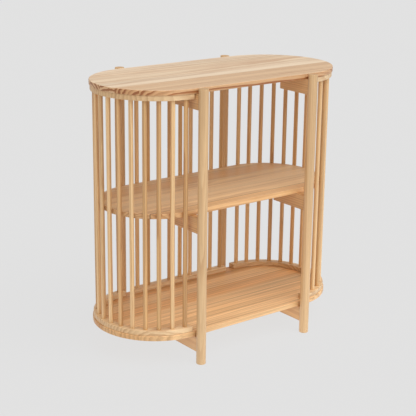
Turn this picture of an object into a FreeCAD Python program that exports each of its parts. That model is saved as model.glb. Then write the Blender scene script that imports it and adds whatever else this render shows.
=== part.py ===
import FreeCAD, Part
import math
import os

import Sketcher
from FreeCAD import Placement, Rotation, Vector

# A free-standing display shelf in solid pale wood.  Two full-length boards with half-round
# ends carry a cage of round spindles, a middle shelf lies inside the cage, and four round
# legs stand outside the boards, tied to them by short blocks.
# Frame: +Z up, +X along the boards, -Y is the open front, origin on the floor at the centre.

SIZES = (
    ("overall_height", 800.0),
    ("foot_clearance", 80.0),
    ("board_thickness", 15.0),
    ("board_radius", 187.5),
    ("straight_half", 212.5),
    ("edge_rounding", 1.5),
    ("shelf_radius", 164.5),
    ("shelf_underside", 435.0),
    ("leg_diameter", 28.0),
    ("leg_offset_x", 198.5),
    ("leg_offset_y", 205.5),
    ("leg_chamfer", 1.0),
    ("ring_outer_radius", 185.0),
    ("ring_width", 26.0),
    ("ring_thickness", 15.0),
    ("ring_rounding", 1.0),
    ("strip_half_length", 182.0),
    ("spindle_diameter", 13.0),
    ("spindle_path_radius", 172.0),
    ("spindles_per_end", 14),
    ("back_spindles", 9),
    ("back_spindle_pitch", 40.6),
    ("socket_depth", 10.0),
    ("joint_clearance", 0.1),
    ("block_width", 22.0),
    ("block_height", 45.0),
    ("top_block_end", 75.0),
    ("low_block_end", 60.0),
    ("block_rounding", 1.5),
    ("dowel_diameter", 8.0),
    ("dowel_length", 40.0),
    ("dowel_low", 12.0),
    ("dowel_high", 33.0),
    ("screw_diameter", 4.0),
    ("screw_hole_diameter", 4.4),
    ("screw_head_diameter", 8.0),
    ("screw_head_height", 2.6),
    ("screw_head_hole_diameter", 8.6),
    ("screw_tip_length", 5.0),
    ("pilot_depth", 11.0),
    ("block_screw_length", 45.0),
    ("block_screw_recess", 10.0),
    ("block_screw_near", 60.0),
    ("block_screw_far", 105.0),
    ("ring_screw_length", 22.0),
    ("ring_screw_angle_near", 25.7143),
    ("ring_screw_angle_far", 64.2857),
)

doc = FreeCAD.newDocument("SpindleShelf")
sheet = doc.addObject("Spreadsheet::Sheet", "Sizes")
for row, (alias, value) in enumerate(SIZES, start=1):
    sheet.set(f"A{row}", alias)
    sheet.set(f"B{row}", str(value))
    sheet.setAlias(f"B{row}", alias)
doc.recompute()


def size(alias):
    return float(sheet.get(alias))


SPINDLES_PER_END = int(size("spindles_per_end"))
BACK_SPINDLES = int(size("back_spindles"))

# Heights used by several parts, as expressions on the sheet
BOTTOM_TOP = "(Sizes.foot_clearance + Sizes.board_thickness)"
TOP_UNDERSIDE = "(Sizes.overall_height - Sizes.board_thickness)"
LOWER_RING_FACE = f"({BOTTOM_TOP} + Sizes.ring_thickness)"
UPPER_RING_FACE = f"({TOP_UNDERSIDE} - Sizes.ring_thickness)"
SPINDLE_HEIGHT = f"({UPPER_RING_FACE} - {LOWER_RING_FACE} + 2 * Sizes.socket_depth)"
SPINDLE_FOOT = f"({LOWER_RING_FACE} - Sizes.socket_depth)"

# The three levels that the legs carry: name, underside of the board, inner end of the block
LEVELS = (
    ("bottom", "Sizes.foot_clearance", "Sizes.low_block_end"),
    ("middle", "Sizes.shelf_underside", "Sizes.low_block_end"),
    ("top", TOP_UNDERSIDE, "Sizes.top_block_end"),
)
# The four legs: name, side along X, side along Y
LEGS = (
    ("front_left", -1, -1),
    ("front_right", 1, -1),
    ("back_left", -1, 1),
    ("back_right", 1, 1),
)
DOWEL_HEIGHTS = ("Sizes.dowel_low", "Sizes.dowel_high")
BLOCK_SCREWS = ("Sizes.block_screw_near", "Sizes.block_screw_far")
RING_SCREW_ANGLES = ("Sizes.ring_screw_angle_near", "Sizes.ring_screw_angle_far")
STRIP_SCREW_PITCHES = (-3.5, -1.5, 1.5, 3.5)

TOLERANCE = 1e-6  # a length below this counts as nothing
LEAST_CUT = 1.0  # a pocket that removes less volume than this has missed

sub_parts = []


def keep(part, label):
    part.Label = label
    sub_parts.append(part)
    return part


def place(part, x="0", y="0", z="0", rotation=None):
    """Put a part at a point given as three expressions, turned by an optional rotation."""
    if rotation is not None:
        part.Placement = Placement(Vector(0, 0, 0), rotation)
    part.setExpression("Placement.Base.x", x)
    part.setExpression("Placement.Base.y", y)
    part.setExpression("Placement.Base.z", z)


def evaluate(expression):
    """The value of an expression on the sheet, in millimetres or degrees."""
    result = sheet.evalExpression(expression)
    return float(getattr(result, "Value", result))


# ---------------------------------------------------------------- sketch and feature helpers


def origin_feature(body, role):
    for feature in body.Origin.OriginFeatures:
        if feature.Role == role:
            return feature
    raise ValueError(f"{body.Name} has no {role}")


def new_body(name):
    return doc.addObject("PartDesign::Body", name)


def new_sketch(body, name, role="XY_Plane", lift=None):
    """A sketch on one of the body's own origin planes, lifted off it by an expression."""
    sketch = body.newObject("Sketcher::SketchObject", name)
    sketch.AttachmentSupport = [(origin_feature(body, role), "")]
    sketch.MapMode = "FlatFace"
    if lift is not None:
        sketch.setExpression("AttachmentOffset.Base.z", lift)
    return sketch


def bind(sketch, constraint, expression):
    """Add a constraint whose value is an expression on the sheet."""
    index = sketch.addConstraint(constraint)
    sketch.setExpression(f"Constraints[{index}]", expression)


def line(sketch, start, end):
    return sketch.addGeometry(Part.LineSegment(Vector(*start, 0), Vector(*end, 0)))


def arc(sketch, centre, radius, start_angle, end_angle):
    circle = Part.Circle(Vector(*centre, 0), Vector(0, 0, 1), radius)
    return sketch.addGeometry(Part.ArcOfCircle(circle, start_angle, end_angle))


def join(sketch, first, first_point, second, second_point, kind="Coincident"):
    sketch.addConstraint(Sketcher.Constraint(kind, first, first_point, second, second_point))


def add_circle(sketch, x, y, diameter, sides=(1, 1)):
    """A circle at expressions x and y, each mirrored where its side is -1."""
    values = (evaluate(x), evaluate(y))
    centre = Vector(sides[0] * values[0], sides[1] * values[1], 0)
    circle = sketch.addGeometry(Part.Circle(centre, Vector(0, 0, 1), evaluate(diameter) / 2))
    bind(sketch, Sketcher.Constraint("Diameter", circle, evaluate(diameter)), diameter)
    for axis, kind in enumerate(("DistanceX", "DistanceY")):
        on_axis = -2 if axis == 0 else -1
        if abs(values[axis]) < TOLERANCE:
            sketch.addConstraint(Sketcher.Constraint("PointOnObject", circle, 3, on_axis))
            continue
        ends = (-1, 1, circle, 3) if sides[axis] > 0 else (circle, 3, -1, 1)
        expression = (x, y)[axis]
        bind(sketch, Sketcher.Constraint(kind, *ends, values[axis]), expression)
    return circle


def pad(body, sketch, length, name="Pad"):
    feature = body.newObject("PartDesign::Pad", name)
    feature.Profile = sketch
    feature.setExpression("Length", length)
    body.Tip = feature
    doc.recompute()
    return feature


def pocket(body, sketch, depth, name, upwards=False):
    """Cut a sketch into the body; depth None cuts right through."""
    feature = body.newObject("PartDesign::Pocket", name)
    feature.Profile = sketch
    if depth is None:
        feature.Type = "ThroughAll"
    else:
        feature.setExpression("Length", depth)
    feature.Reversed = upwards
    body.Tip = feature
    doc.recompute()
    return feature


def level_edges(shape):
    """Names of the edges that lie flat, at one height."""
    names = []
    for number, edge in enumerate(shape.Edges, start=1):
        if edge.BoundBox.ZLength < TOLERANCE:
            names.append(f"Edge{number}")
    return names


def dress(body, base, kind, edges, amount, name):
    """A fillet or a chamfer on named edges of the body's last feature."""
    feature = body.newObject(f"PartDesign::{kind}", name)
    feature.Base = (base, edges)
    feature.setExpression("Radius" if kind == "Fillet" else "Size", amount)
    body.Tip = feature
    doc.recompute()
    return feature


# ---------------------------------------------------------------- boards


def stadium_sketch(body, radius):
    """Two half circles joined by two straight sides, centred on the origin."""
    sketch = new_sketch(body, "Outline")
    half = size("straight_half")
    reach = evaluate(radius)
    right = arc(sketch, (half, 0), reach, -math.pi / 2, math.pi / 2)
    left = arc(sketch, (-half, 0), reach, math.pi / 2, 3 * math.pi / 2)
    back = line(sketch, (half, reach), (-half, reach))
    front = line(sketch, (-half, -reach), (half, -reach))
    join(sketch, right, 2, back, 1, "Tangent")
    join(sketch, back, 2, left, 1, "Tangent")
    join(sketch, left, 2, front, 1, "Tangent")
    join(sketch, front, 2, right, 1, "Tangent")
    sketch.addConstraint(Sketcher.Constraint("Equal", right, left))
    sketch.addConstraint(Sketcher.Constraint("PointOnObject", right, 3, -1))
    sketch.addConstraint(Sketcher.Constraint("PointOnObject", left, 3, -1))
    bind(sketch, Sketcher.Constraint("DistanceX", -1, 1, right, 3, half), "Sizes.straight_half")
    bind(sketch, Sketcher.Constraint("DistanceX", left, 3, -1, 1, half), "Sizes.straight_half")
    bind(sketch, Sketcher.Constraint("Radius", right, reach), radius)
    return sketch


def block_screw_holes(sketch, diameter):
    """The two screws of each of the four blocks, seen from above in the whole shelf."""
    for _, side_x, side_y in LEGS:
        for along in BLOCK_SCREWS:
            offset = f"Sizes.leg_offset_y - {along}"
            add_circle(sketch, "Sizes.leg_offset_x", offset, diameter, (side_x, side_y))


def strip_screw_points(y):
    """The screws of a back strip whose middle line is at y, as x, y and the mirroring of each."""
    points = []
    for pitches in STRIP_SCREW_PITCHES:
        side_x = -1 if pitches < 0 else 1
        points.append((f"{abs(pitches)} * Sizes.back_spindle_pitch", y, (side_x, 1)))
    return points


def half_ring_screw_points(centre, sides):
    """The screws of a half ring centred at x = centre, mirrored to each of the given sides."""
    points = []
    for angle in RING_SCREW_ANGLES:
        x = f"{centre} + Sizes.spindle_path_radius * cos({angle})"
        y = f"Sizes.spindle_path_radius * sin({angle})"
        for side_x, side_y in sides:
            points.append((x, y, (side_x, side_y)))
    return points


def ring_screw_points():
    """The screws of both half rings and of the back strip, seen from above in the whole shelf."""
    corners = [(side_x, side_y) for _, side_x, side_y in LEGS]
    rings = half_ring_screw_points("Sizes.straight_half", corners)
    return rings + strip_screw_points("Sizes.spindle_path_radius")


def make_board(label, radius, underside, ring_screws=None):
    """A board with half-round ends; ring_screws is 'pilot' or 'through' where rings meet it."""
    body = new_body(label)
    blank = pad(body, stadium_sketch(body, radius), "Sizes.board_thickness", "Board")
    dress(body, blank, "Fillet", level_edges(blank.Shape), "Sizes.edge_rounding", "SoftEdges")
    pilots = new_sketch(body, "PilotHoles")
    block_screw_holes(pilots, "Sizes.screw_diameter")
    if ring_screws == "pilot":
        for x, y, sides in ring_screw_points():
            add_circle(pilots, x, y, "Sizes.screw_diameter", sides)
    pocket(body, pilots, "Sizes.pilot_depth", "Pilots", upwards=True)
    if ring_screws == "through":
        holes = new_sketch(body, "ScrewHoles")
        recesses = new_sketch(body, "HeadRecesses")
        for x, y, sides in ring_screw_points():
            add_circle(holes, x, y, "Sizes.screw_hole_diameter", sides)
            add_circle(recesses, x, y, "Sizes.screw_head_hole_diameter", sides)
        pocket(body, holes, None, "Holes", upwards=True)
        pocket(body, recesses, "Sizes.screw_head_height", "Recesses", upwards=True)
    place(body, z=underside)
    return keep(body, label)


make_board("bottom_board", "Sizes.board_radius", "Sizes.foot_clearance", "through")
make_board("middle_shelf", "Sizes.shelf_radius", "Sizes.shelf_underside")
make_board("top_board", "Sizes.board_radius", TOP_UNDERSIDE, "pilot")

# ---------------------------------------------------------------- legs and their blocks


def make_leg(label, side_x, side_y):
    """A round leg, drilled on its inner side for the dowels of the three blocks."""
    body = new_body(label)
    outline = new_sketch(body, "Outline")
    add_circle(outline, "0", "0", "Sizes.leg_diameter")
    blank = pad(body, outline, "Sizes.overall_height", "Round")
    dress(body, blank, "Chamfer", level_edges(blank.Shape), "Sizes.leg_chamfer", "Ends")
    holes = new_sketch(body, "DowelHoles", "XZ_Plane")
    for _, underside, _ in LEVELS:
        for height in DOWEL_HEIGHTS:
            level = f"{underside} - Sizes.block_height + {height}"
            add_circle(holes, "0", level, "Sizes.dowel_diameter")
    pocket(body, holes, "Sizes.leg_diameter", "Dowels")
    turn = Rotation(Vector(0, 0, 1), 0 if side_y < 0 else 180)
    place(body, f"{side_x} * Sizes.leg_offset_x", f"{side_y} * Sizes.leg_offset_y", "0", turn)
    return keep(body, label)


def block_outline(body, length):
    """A strip across the leg's axis, its near end hollowed to fit round the leg."""
    sketch = new_sketch(body, "Outline")
    half = size("block_width") / 2
    hollow = size("leg_diameter") / 2 + size("joint_clearance")
    reach = evaluate(length)
    lean = math.acos(half / hollow)
    corner = hollow * math.sin(lean)
    near = arc(sketch, (0, 0), hollow, lean, math.pi - lean)
    left = line(sketch, (-half, corner), (-half, reach))
    end = line(sketch, (-half, reach), (half, reach))
    right = line(sketch, (half, reach), (half, corner))
    join(sketch, near, 2, left, 1)
    join(sketch, left, 2, end, 1)
    join(sketch, end, 2, right, 1)
    join(sketch, right, 2, near, 1)
    join(sketch, near, 3, -1, 1)
    sketch.addConstraint(Sketcher.Constraint("Vertical", left))
    sketch.addConstraint(Sketcher.Constraint("Vertical", right))
    sketch.addConstraint(Sketcher.Constraint("Horizontal", end))
    bind(
        sketch,
        Sketcher.Constraint("Radius", near, hollow),
        "Sizes.leg_diameter / 2 + Sizes.joint_clearance",
    )
    bind(sketch, Sketcher.Constraint("DistanceX", left, 1, -1, 1, half), "Sizes.block_width / 2")
    bind(sketch, Sketcher.Constraint("DistanceX", -1, 1, right, 1, half), "Sizes.block_width / 2")
    bind(sketch, Sketcher.Constraint("DistanceY", -1, 1, end, 1, reach), length)
    return sketch


def long_lower_edges(shape):
    """Names of the two lower edges that run the length of a block."""
    names = []
    for number, edge in enumerate(shape.Edges, start=1):
        box = edge.BoundBox
        if box.ZMax < TOLERANCE and box.XLength < TOLERANCE:
            names.append(f"Edge{number}")
    return names


def make_block(label, side_x, side_y, underside, inner_end):
    """The block that ties one leg to one board, dowelled to the leg, screwed to the board."""
    body = new_body(label)
    length = f"Sizes.leg_offset_y - {inner_end}"
    blank = pad(body, block_outline(body, length), "Sizes.block_height", "Blank")
    edges = long_lower_edges(blank.Shape)
    dress(body, blank, "Fillet", edges, "Sizes.block_rounding", "SoftEdges")
    dowels = new_sketch(body, "DowelHoles", "XZ_Plane")
    for height in DOWEL_HEIGHTS:
        add_circle(dowels, "0", height, "Sizes.dowel_diameter")
    pocket(body, dowels, "Sizes.dowel_length", "Dowels")
    holes = new_sketch(body, "ScrewHoles")
    recesses = new_sketch(body, "HeadRecesses")
    for along in BLOCK_SCREWS:
        add_circle(holes, "0", along, "Sizes.screw_hole_diameter")
        add_circle(recesses, "0", along, "Sizes.screw_head_hole_diameter")
    pocket(body, holes, None, "Holes", upwards=True)
    pocket(body, recesses, "Sizes.block_screw_recess", "Recesses", upwards=True)
    turn = Rotation(Vector(0, 0, 1), 0 if side_y < 0 else 180)
    x = f"{side_x} * Sizes.leg_offset_x"
    y = f"{side_y} * Sizes.leg_offset_y"
    place(body, x, y, f"{underside} - Sizes.block_height", turn)
    return keep(body, label)


for leg_name, leg_x, leg_y in LEGS:
    make_leg(f"leg_{leg_name}", leg_x, leg_y)
for level_name, level_underside, block_end in LEVELS:
    for leg_name, leg_x, leg_y in LEGS:
        block_name = f"{level_name}_block_{leg_name}"
        make_block(block_name, leg_x, leg_y, level_underside, block_end)

# ---------------------------------------------------------------- half rings and back strips


def half_ring_sketch(body):
    """Half of a flat ring about the origin, open towards -X."""
    sketch = new_sketch(body, "Outline")
    outer = size("ring_outer_radius")
    inner = outer - size("ring_width")
    outside = arc(sketch, (0, 0), outer, -math.pi / 2, math.pi / 2)
    inside = arc(sketch, (0, 0), inner, -math.pi / 2, math.pi / 2)
    back = line(sketch, (0, outer), (0, inner))
    front = line(sketch, (0, -inner), (0, -outer))
    join(sketch, outside, 2, back, 1)
    join(sketch, back, 2, inside, 2)
    join(sketch, inside, 1, front, 1)
    join(sketch, front, 2, outside, 1)
    join(sketch, outside, 3, -1, 1)
    join(sketch, inside, 3, -1, 1)
    sketch.addConstraint(Sketcher.Constraint("PointOnObject", outside, 1, -2))
    sketch.addConstraint(Sketcher.Constraint("PointOnObject", outside, 2, -2))
    sketch.addConstraint(Sketcher.Constraint("PointOnObject", inside, 1, -2))
    sketch.addConstraint(Sketcher.Constraint("PointOnObject", inside, 2, -2))
    bind(sketch, Sketcher.Constraint("Radius", outside, outer), "Sizes.ring_outer_radius")
    bind(
        sketch,
        Sketcher.Constraint("Radius", inside, inner),
        "Sizes.ring_outer_radius - Sizes.ring_width",
    )
    return sketch


def drill_for_screws(body, points, from_board):
    """Blind pilots in the face on the board, or holes with recesses for the heads outside."""
    if from_board:
        pilots = new_sketch(body, "PilotHoles")
        for x, y, sides in points:
            add_circle(pilots, x, y, "Sizes.screw_diameter", sides)
        pocket(body, pilots, "Sizes.pilot_depth", "Pilots", upwards=True)
        return
    holes = new_sketch(body, "ScrewHoles", lift="Sizes.ring_thickness")
    recesses = new_sketch(body, "HeadRecesses", lift="Sizes.ring_thickness")
    for x, y, sides in points:
        add_circle(holes, x, y, "Sizes.screw_hole_diameter", sides)
        add_circle(recesses, x, y, "Sizes.screw_head_hole_diameter", sides)
    pocket(body, holes, None, "Holes")
    pocket(body, recesses, "Sizes.screw_head_height", "Recesses")


def facing(side_x, upper):
    """Turn a ring or strip to its end of the shelf and, under the top board, upside down."""
    end = Rotation(Vector(0, 0, 1), 0 if side_x > 0 else 180)
    flip = Rotation(Vector(1, 0, 0), 180 if upper else 0)
    return end.multiply(flip)


SOCKET_DIAMETER = "Sizes.spindle_diameter + 2 * Sizes.joint_clearance"


def make_half_ring(label, side_x, upper):
    """A half ring, its flat face on the board and its spindle sockets in the other face."""
    body = new_body(label)
    blank = pad(body, half_ring_sketch(body), "Sizes.ring_thickness", "Ring")
    dress(body, blank, "Fillet", level_edges(blank.Shape), "Sizes.ring_rounding", "SoftEdges")
    first = new_sketch(body, "FirstSocket", lift="Sizes.ring_thickness")
    lean = "90 / Sizes.spindles_per_end"
    x = f"Sizes.spindle_path_radius * sin({lean})"
    y = f"Sizes.spindle_path_radius * cos({lean})"
    add_circle(first, x, y, SOCKET_DIAMETER, (1, -1))
    socket = pocket(body, first, "Sizes.socket_depth", "Socket")
    row = body.newObject("PartDesign::PolarPattern", "Sockets")
    row.Originals = [socket]
    row.Axis = (origin_feature(body, "Z_Axis"), [""])
    row.setExpression("Occurrences", "Sizes.spindles_per_end")
    row.setExpression("Angle", "180 * (Sizes.spindles_per_end - 1) / Sizes.spindles_per_end")
    body.Tip = row
    doc.recompute()
    points = half_ring_screw_points("0", ((1, -1), (1, 1)))
    drill_for_screws(body, points, from_board=not upper)
    height = TOP_UNDERSIDE if upper else BOTTOM_TOP
    place(body, f"{side_x} * Sizes.straight_half", "0", height, facing(side_x, upper))
    return keep(body, label)


def strip_sketch(body):
    """A straight strip centred on the origin."""
    sketch = new_sketch(body, "Outline")
    half = size("strip_half_length")
    deep = size("ring_width") / 2
    corners = ((-half, -deep), (half, -deep), (half, deep), (-half, deep))
    sides = []
    for number, start in enumerate(corners):
        sides.append(line(sketch, start, corners[(number + 1) % 4]))
    for number, side in enumerate(sides):
        join(sketch, side, 2, sides[(number + 1) % 4], 1)
        kind = "Horizontal" if number % 2 == 0 else "Vertical"
        sketch.addConstraint(Sketcher.Constraint(kind, side))
    centred = Sketcher.Constraint("Symmetric", sides[0], 1, sides[1], 2, -1, 1)
    sketch.addConstraint(centred)
    bind(
        sketch,
        Sketcher.Constraint("DistanceX", sides[0], 1, sides[0], 2, 2 * half),
        "2 * Sizes.strip_half_length",
    )
    bind(
        sketch,
        Sketcher.Constraint("DistanceY", sides[1], 1, sides[1], 2, 2 * deep),
        "Sizes.ring_width",
    )
    return sketch


def make_back_strip(label, upper):
    """The straight strip that closes the cage between the two back legs."""
    body = new_body(label)
    blank = pad(body, strip_sketch(body), "Sizes.ring_thickness", "Strip")
    dress(body, blank, "Fillet", level_edges(blank.Shape), "Sizes.ring_rounding", "SoftEdges")
    first = new_sketch(body, "FirstSocket", lift="Sizes.ring_thickness")
    reach = "(Sizes.back_spindles - 1) * Sizes.back_spindle_pitch"
    add_circle(first, f"{reach} / 2", "0", SOCKET_DIAMETER, (-1, 1))
    socket = pocket(body, first, "Sizes.socket_depth", "Socket")
    row = body.newObject("PartDesign::LinearPattern", "Sockets")
    row.Originals = [socket]
    row.Direction = (origin_feature(body, "X_Axis"), [""])
    row.setExpression("Occurrences", "Sizes.back_spindles")
    row.setExpression("Length", reach)
    body.Tip = row
    doc.recompute()
    drill_for_screws(body, strip_screw_points("0"), from_board=not upper)
    height = TOP_UNDERSIDE if upper else BOTTOM_TOP
    place(body, "0", "Sizes.spindle_path_radius", height, facing(1, upper))
    return keep(body, label)


for end_name, end_side in (("left", -1), ("right", 1)):
    make_half_ring(f"lower_ring_{end_name}", end_side, upper=False)
    make_half_ring(f"upper_ring_{end_name}", end_side, upper=True)
make_back_strip("lower_back_strip", upper=False)
make_back_strip("upper_back_strip", upper=True)

# ---------------------------------------------------------------- spindles


def spindle(name, x, y):
    """A plain round spindle that stands in the sockets of the lower and upper rings."""
    rod = doc.addObject("Part::Cylinder", name)
    rod.setExpression("Radius", "Sizes.spindle_diameter / 2")
    rod.setExpression("Height", SPINDLE_HEIGHT)
    place(rod, x, y, SPINDLE_FOOT)
    return rod


def end_spindles(end_name, side_x):
    """The spindles of one end, evenly spaced round the half circle from front to back."""
    for number in range(SPINDLES_PER_END):
        angle = f"(180 * ({number} + 0.5) / Sizes.spindles_per_end - 90)"
        across = f"Sizes.straight_half + Sizes.spindle_path_radius * cos({angle})"
        along = f"Sizes.spindle_path_radius * sin({angle})"
        label = f"spindle_{end_name}_{number + 1:02d}"
        keep(spindle(label, f"{side_x} * ({across})", along), label)


def group(label, members):
    """Separate solids that share one node."""
    compound = doc.addObject("Part::Compound", label)
    compound.Links = members
    return keep(compound, label)


end_spindles("left", -1)
end_spindles("right", 1)
back_row = []
for back_number in range(BACK_SPINDLES):
    back_x = f"({back_number} - (Sizes.back_spindles - 1) / 2) * Sizes.back_spindle_pitch"
    rod_name = f"BackSpindle{back_number + 1}"
    back_row.append(spindle(rod_name, back_x, "Sizes.spindle_path_radius"))
group("back_spindles", back_row)

# ---------------------------------------------------------------- dowels and screws


def dowel(name, side_x, side_y, underside, height):
    """A dowel from the middle of a leg into the end of its block."""
    rod = doc.addObject("Part::Cylinder", name)
    rod.setExpression("Radius", "Sizes.dowel_diameter / 2")
    rod.setExpression("Height", "Sizes.dowel_length")
    inwards = Rotation(Vector(1, 0, 0), -90 if side_y < 0 else 90)
    x = f"{side_x} * Sizes.leg_offset_x"
    y = f"{side_y} * Sizes.leg_offset_y"
    place(rod, x, y, f"{underside} - Sizes.block_height + {height}", inwards)
    return rod


for level_name, level_underside, _ in LEVELS:
    level_dowels = []
    for leg_name, leg_x, leg_y in LEGS:
        for number, dowel_height in enumerate(DOWEL_HEIGHTS, start=1):
            dowel_name = f"Dowel_{level_name}_{leg_name}_{number}"
            rod = dowel(dowel_name, leg_x, leg_y, level_underside, dowel_height)
            level_dowels.append(rod)
    group(f"{level_name}_dowels", level_dowels)


def screw_shape(length):
    """A wafer-head wood screw, point up, its head's bearing face at the origin."""
    shank = size("screw_diameter") / 2
    head = size("screw_head_diameter") / 2
    straight = length - size("screw_tip_length")
    profile = (
        Vector(0, 0, -size("screw_head_height")),
        Vector(head, 0, -size("screw_head_height")),
        Vector(head, 0, 0),
        Vector(shank, 0, 0),
        Vector(shank, 0, straight),
        Vector(0, 0, length),
        Vector(0, 0, -size("screw_head_height")),
    )
    face = Part.Face(Part.makePolygon(profile))
    return face.revolve(Vector(0, 0, 0), Vector(0, 0, 1), 360)


def make_screws(label, length, places):
    """One node of identical screws, all driven upwards, standing at the given points."""
    pattern = screw_shape(length)
    copies = []
    for point in places:
        copy = pattern.copy()
        copy.translate(point)
        copies.append(copy)
    feature = doc.addObject("Part::Feature", label)
    feature.Shape = Part.makeCompound(copies)
    return keep(feature, label)


def block_screw_places():
    places = []
    for _, underside, _ in LEVELS:
        height = evaluate(underside) - size("block_height") + size("block_screw_recess")
        for _, side_x, side_y in LEGS:
            for along in BLOCK_SCREWS:
                y = side_y * (size("leg_offset_y") - evaluate(along))
                places.append(Vector(side_x * size("leg_offset_x"), y, height))
    return places


def ring_screw_places(face):
    """Bearing points of the ring screws whose heads are sunk into the face at this height."""
    places = []
    for x, y, sides in ring_screw_points():
        height = evaluate(face) + size("screw_head_height")
        places.append(Vector(sides[0] * evaluate(x), sides[1] * evaluate(y), height))
    return places


make_screws("block_screws", size("block_screw_length"), block_screw_places())
lower_places = ring_screw_places("Sizes.foot_clearance")
upper_places = ring_screw_places(UPPER_RING_FACE)
make_screws("lower_ring_screws", size("ring_screw_length"), lower_places)
make_screws("upper_ring_screws", size("ring_screw_length"), upper_places)

# ---------------------------------------------------------------- checks and export

doc.recompute()

for item in doc.Objects:
    if "Invalid" in item.State or "Error" in item.State:
        raise RuntimeError(f"{item.Label} failed to compute: {item.State}")
    if item.TypeId == "PartDesign::Pocket":
        removed = item.BaseFeature.Shape.Volume - item.Shape.Volume
        if removed < LEAST_CUT:
            owner = item.getParentGeoFeatureGroup()
            raise RuntimeError(f"{item.Label} of {owner.Label} cuts nothing")

for part in sub_parts:
    if part.Shape.isNull() or not part.Shape.isValid():
        raise RuntimeError(f"{part.Label} has no valid shape")

os.makedirs("parts", exist_ok=True)
for part in sub_parts:
    part.Shape.exportStep(f"parts/{part.Label}.step")
print(f"{len(sub_parts)} sub-parts written")
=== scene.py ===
import math

import bmesh
import bpy
import numpy as np
from mathutils import Matrix, Vector
from mathutils.geometry import delaunay_2d_cdt


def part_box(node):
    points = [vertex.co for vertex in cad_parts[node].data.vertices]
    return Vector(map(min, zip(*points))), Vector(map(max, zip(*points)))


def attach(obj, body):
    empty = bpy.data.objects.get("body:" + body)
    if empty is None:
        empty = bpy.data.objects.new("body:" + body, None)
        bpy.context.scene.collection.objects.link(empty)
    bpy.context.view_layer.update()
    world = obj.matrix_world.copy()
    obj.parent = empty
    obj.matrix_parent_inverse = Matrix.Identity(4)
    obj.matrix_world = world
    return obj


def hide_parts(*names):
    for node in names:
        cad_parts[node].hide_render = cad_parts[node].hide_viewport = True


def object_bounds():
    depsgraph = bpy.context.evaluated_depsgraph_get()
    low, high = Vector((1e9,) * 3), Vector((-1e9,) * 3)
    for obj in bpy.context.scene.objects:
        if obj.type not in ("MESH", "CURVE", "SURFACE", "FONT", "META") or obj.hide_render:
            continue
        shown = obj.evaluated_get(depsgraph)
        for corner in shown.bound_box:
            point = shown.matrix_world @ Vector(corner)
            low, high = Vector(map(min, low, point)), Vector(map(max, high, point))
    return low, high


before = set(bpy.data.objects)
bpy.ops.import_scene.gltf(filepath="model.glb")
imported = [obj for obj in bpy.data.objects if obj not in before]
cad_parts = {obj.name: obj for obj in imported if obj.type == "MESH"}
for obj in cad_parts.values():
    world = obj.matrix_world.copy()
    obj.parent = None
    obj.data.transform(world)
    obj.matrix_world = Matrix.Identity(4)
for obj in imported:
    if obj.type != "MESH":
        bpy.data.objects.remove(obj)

# A free-standing display shelf in pale wood: glued boards with half-round ends, a cage of
# round spindles between half rings, and four round legs.  All lengths are metres.

CAD_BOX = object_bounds()
MM = 0.001


def span(node):
    """Lowest and highest corner of a CAD node, as arrays."""
    low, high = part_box(node)
    return np.array(low), np.array(high)


# ---------------------------------------------------------------- sizes

BOARD_RADIUS = span("top_board")[1][1]
SHELF_RADIUS = span("middle_shelf")[1][1]
STRAIGHT_HALF = span("lower_ring_right")[0][0]
RING_OUTER = span("lower_ring_right")[1][1]
STRIP_LOW, STRIP_HIGH = span("lower_back_strip")
RING_INNER = STRIP_LOW[1]
SPINDLE_PATH = (RING_INNER + RING_OUTER) / 2
SPINDLE_LOW, SPINDLE_HIGH = span("spindle_left_01")
SPINDLE_RADIUS = (SPINDLE_HIGH[0] - SPINDLE_LOW[0]) / 2
SOCKET_DEPTH = STRIP_HIGH[2] - SPINDLE_LOW[2]
SPINDLES_PER_END = sum(name.startswith("spindle_left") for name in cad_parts)
SPINDLE_STEP = 180 / SPINDLES_PER_END
BACK_SPINDLES = 9
BACK_LOW, BACK_HIGH = span("back_spindles")
BACK_PITCH = (BACK_HIGH[0] - BACK_LOW[0] - 2 * SPINDLE_RADIUS) / (BACK_SPINDLES - 1)
LEG_OFFSET = tuple(np.mean(span("leg_back_right"), axis=0)[:2])
STAVES = 6
STAVE_WIDTH = 2 * BOARD_RADIUS / STAVES

BOARD_ROUNDING = 2.0 * MM
RING_ROUNDING = 1.8 * MM
RAIL_CORNER = 2.6 * MM  # wider than the rounding, so that no corner shrinks to a point
SOCKET_CLEARANCE = 0.1 * MM
PILOT_RADIUS = 2.0 * MM
PILOT_DEPTH = 11 * MM
HOLE_RADIUS = 2.2 * MM
HEAD_RADIUS = 4.3 * MM
HEAD_DEPTH = 2.6 * MM
BLOCK_SCREWS = (60 * MM, 105 * MM)  # from the axis of the leg
RING_SCREW_STEPS = (2, 5)  # in steps between end spindles, from the long axis
STRIP_SCREW_PITCHES = (-3.5, -1.5, 1.5, 3.5)  # in pitches of the back spindles, from the middle

SPINDLE_BOW = 0.35 * MM  # how far a spindle's middle may stray, in x and in y
SPINDLE_SWELL = 0.004  # how much its radius swells along it, as a share
SWELL_HALF_WAVES = 3
SPINDLE_OVAL = 0.003  # how far it is out of round, as a share
SPINDLE_END_HEIGHTS = np.array([0, 0, 0.4, 1.0]) * MM  # rows of the eased end, from its face
SPINDLE_END_SHARES = np.array([0, 0.9, 0.97, 1.0])  # of the radius, at those rows

HALF_CIRCLE_POINTS = 97
CORNER_POINTS = 7
EDGE_STEPS = 6  # of the quarter round along a flat piece's edges
ROUND_SIDES = 32  # of a hole or a spindle
SPINDLE_ROWS = 25
INSIDE_ONLY = 1  # asks the triangulation for what lies inside the border only
SAME_POINT = 1e-9  # points closer than this count as one, in the triangulation
SAME_VERTEX = 1e-7  # and in a finished spindle

# ---------------------------------------------------------------- outlines and flat pieces


def full_turn():
    """Angles evenly spaced round a circle, the last one step short of the first."""
    return np.linspace(0, 2 * math.pi, ROUND_SIDES + 1)[:-1]


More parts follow.
